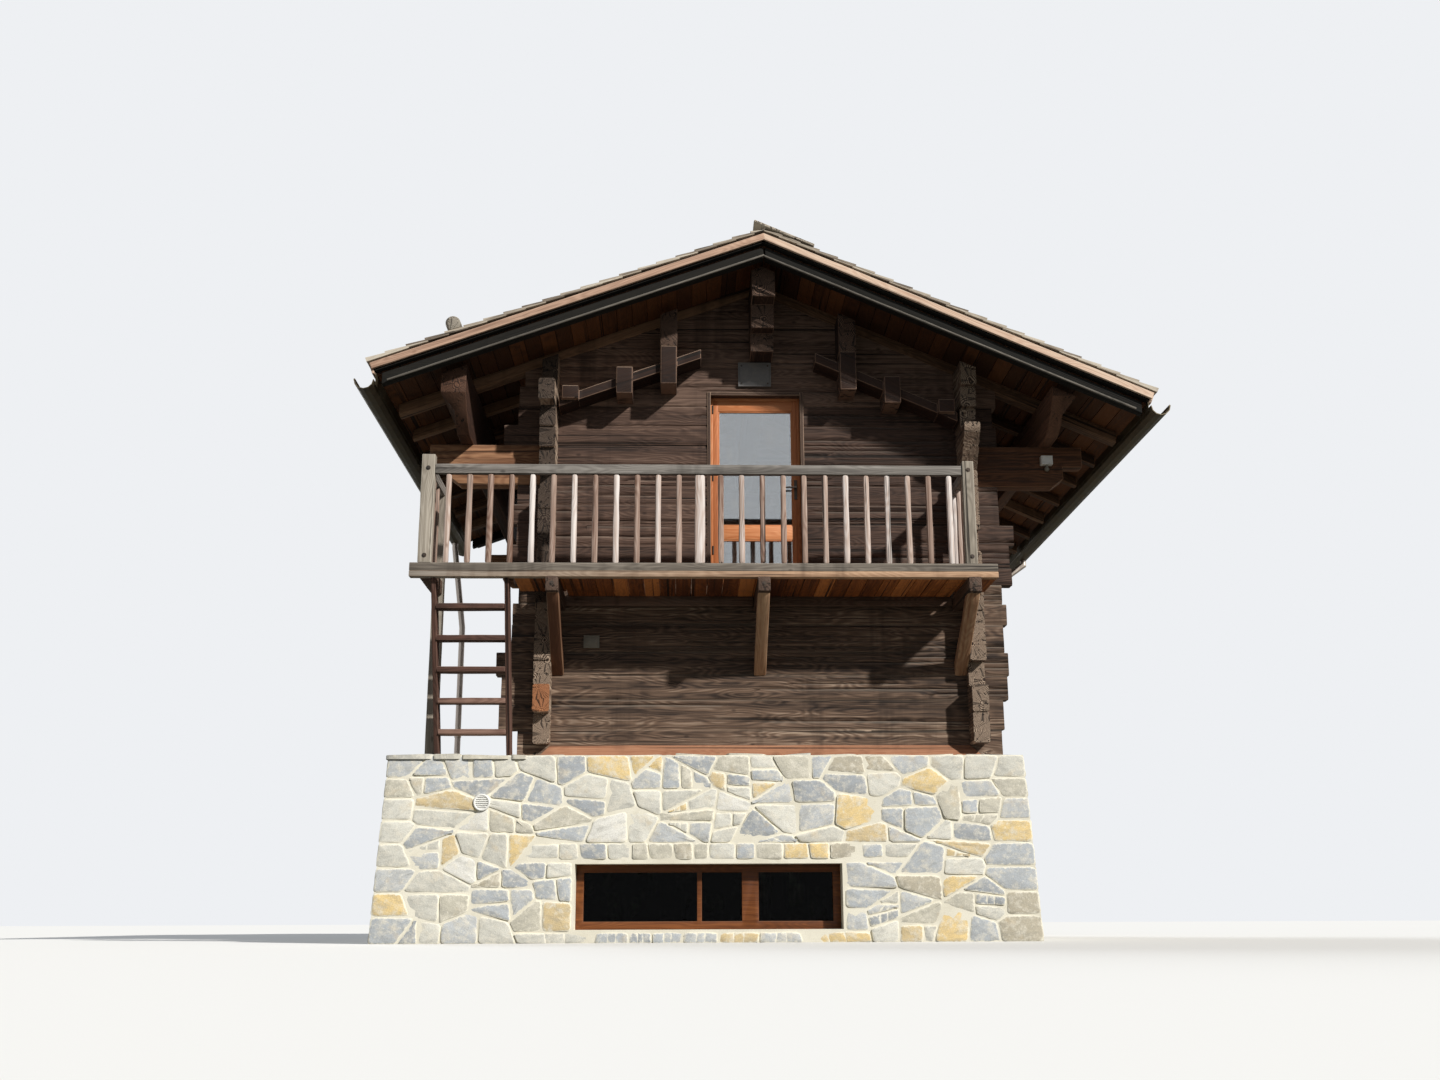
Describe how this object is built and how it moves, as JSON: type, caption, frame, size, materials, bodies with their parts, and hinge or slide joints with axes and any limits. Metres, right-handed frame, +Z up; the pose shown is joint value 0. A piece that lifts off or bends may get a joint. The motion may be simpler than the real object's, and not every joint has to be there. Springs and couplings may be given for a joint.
{
  "type": "alpine chalet",
  "caption": "Log house with a low gabled shingle roof on a rubble-stone basement, with a front balcony, a glazed balcony door, a ladder stair, a side terrace and a basement window.",
  "frame": {"origin": "lowest ground level, under the middle of the log house's plan", "axes": "+X to the right seen from the balcony side, +Y to the back, +Z up"},
  "size_m": [8.125, 6.83, 7.1741],
  "materials": {
    "rubble_stone": "random rubble with wide pale lime mortar joints",
    "flagstone": "thin split flagstones",
    "concrete": "plain cast slab",
    "floor_boards": "planed softwood boards",
    "window_wood": "brown-orange glazed softwood",
    "window_glass": "clear glass with a dark room behind",
    "white_plastic": "matt white",
    "red_wood": "reddish-brown stained boards",
    "dark_logs": "sun-darkened hewn softwood logs",
    "door_wood": "orange oiled softwood",
    "grey_plate": "bare grey plate",
    "grey_plastic": "grey box",
    "weathered_wood": "silver-grey weathered softwood",
    "underside_wood": "warm orange-brown boards",
    "pale_wood": "pale tan softwood",
    "wood_shingles": "sun-bleached split wooden shingles",
    "dark_metal": "dark brown sheet metal"
  },
  "bodies": {
    "root": {"front_stone_wall": "rubble_stone", "back_stone_wall": "rubble_stone", "left_stone_wall": "rubble_stone", "right_stone_wall": "rubble_stone", "stone_coping": "flagstone", "basement_floor": "concrete", "ground_floor": "concrete", "upper_floor": "floor_boards", "basement_window_frame": "window_wood", "basement_window_glass": "window_glass", "vent_cap": "white_plastic", "sill_skirt": "red_wood", "front_wall": "dark_logs", "back_wall": "dark_logs", "left_wall": "dark_logs", "right_wall": "dark_logs", "front_door_walls": "dark_logs", "front_gable": "dark_logs", "back_gable": "dark_logs", "door_casing": "door_wood", "door_leaf": "door_wood", "door_glass": "window_glass", "gable_plate": "grey_plate", "socket_box": "grey_plastic", "wall_lamp": "white_plastic", "balcony_beam": "weathered_wood", "balcony_joists": "weathered_wood", "balcony_planks": "underside_wood", "balcony_braces": "weathered_wood", "balcony_posts": "weathered_wood", "balcony_rails": "weathered_wood", "balusters": "pale_wood", "stair_stringers": "red_wood", "stair_treads": "red_wood", "ridge_purlin": "dark_logs", "mid_purlins": "dark_logs", "eave_purlins": "dark_logs", "eave_arms": "dark_logs", "gable_brackets": "dark_logs", "rafters": "dark_logs", "roof_boards": "underside_wood", "shingles": "wood_shingles", "verge_boards": "pale_wood", "ridge_cap": "wood_shingles", "gutters": "dark_metal", "downpipes": "dark_metal", "snow_guard": "weathered_wood"}
  },
  "joints": []
}
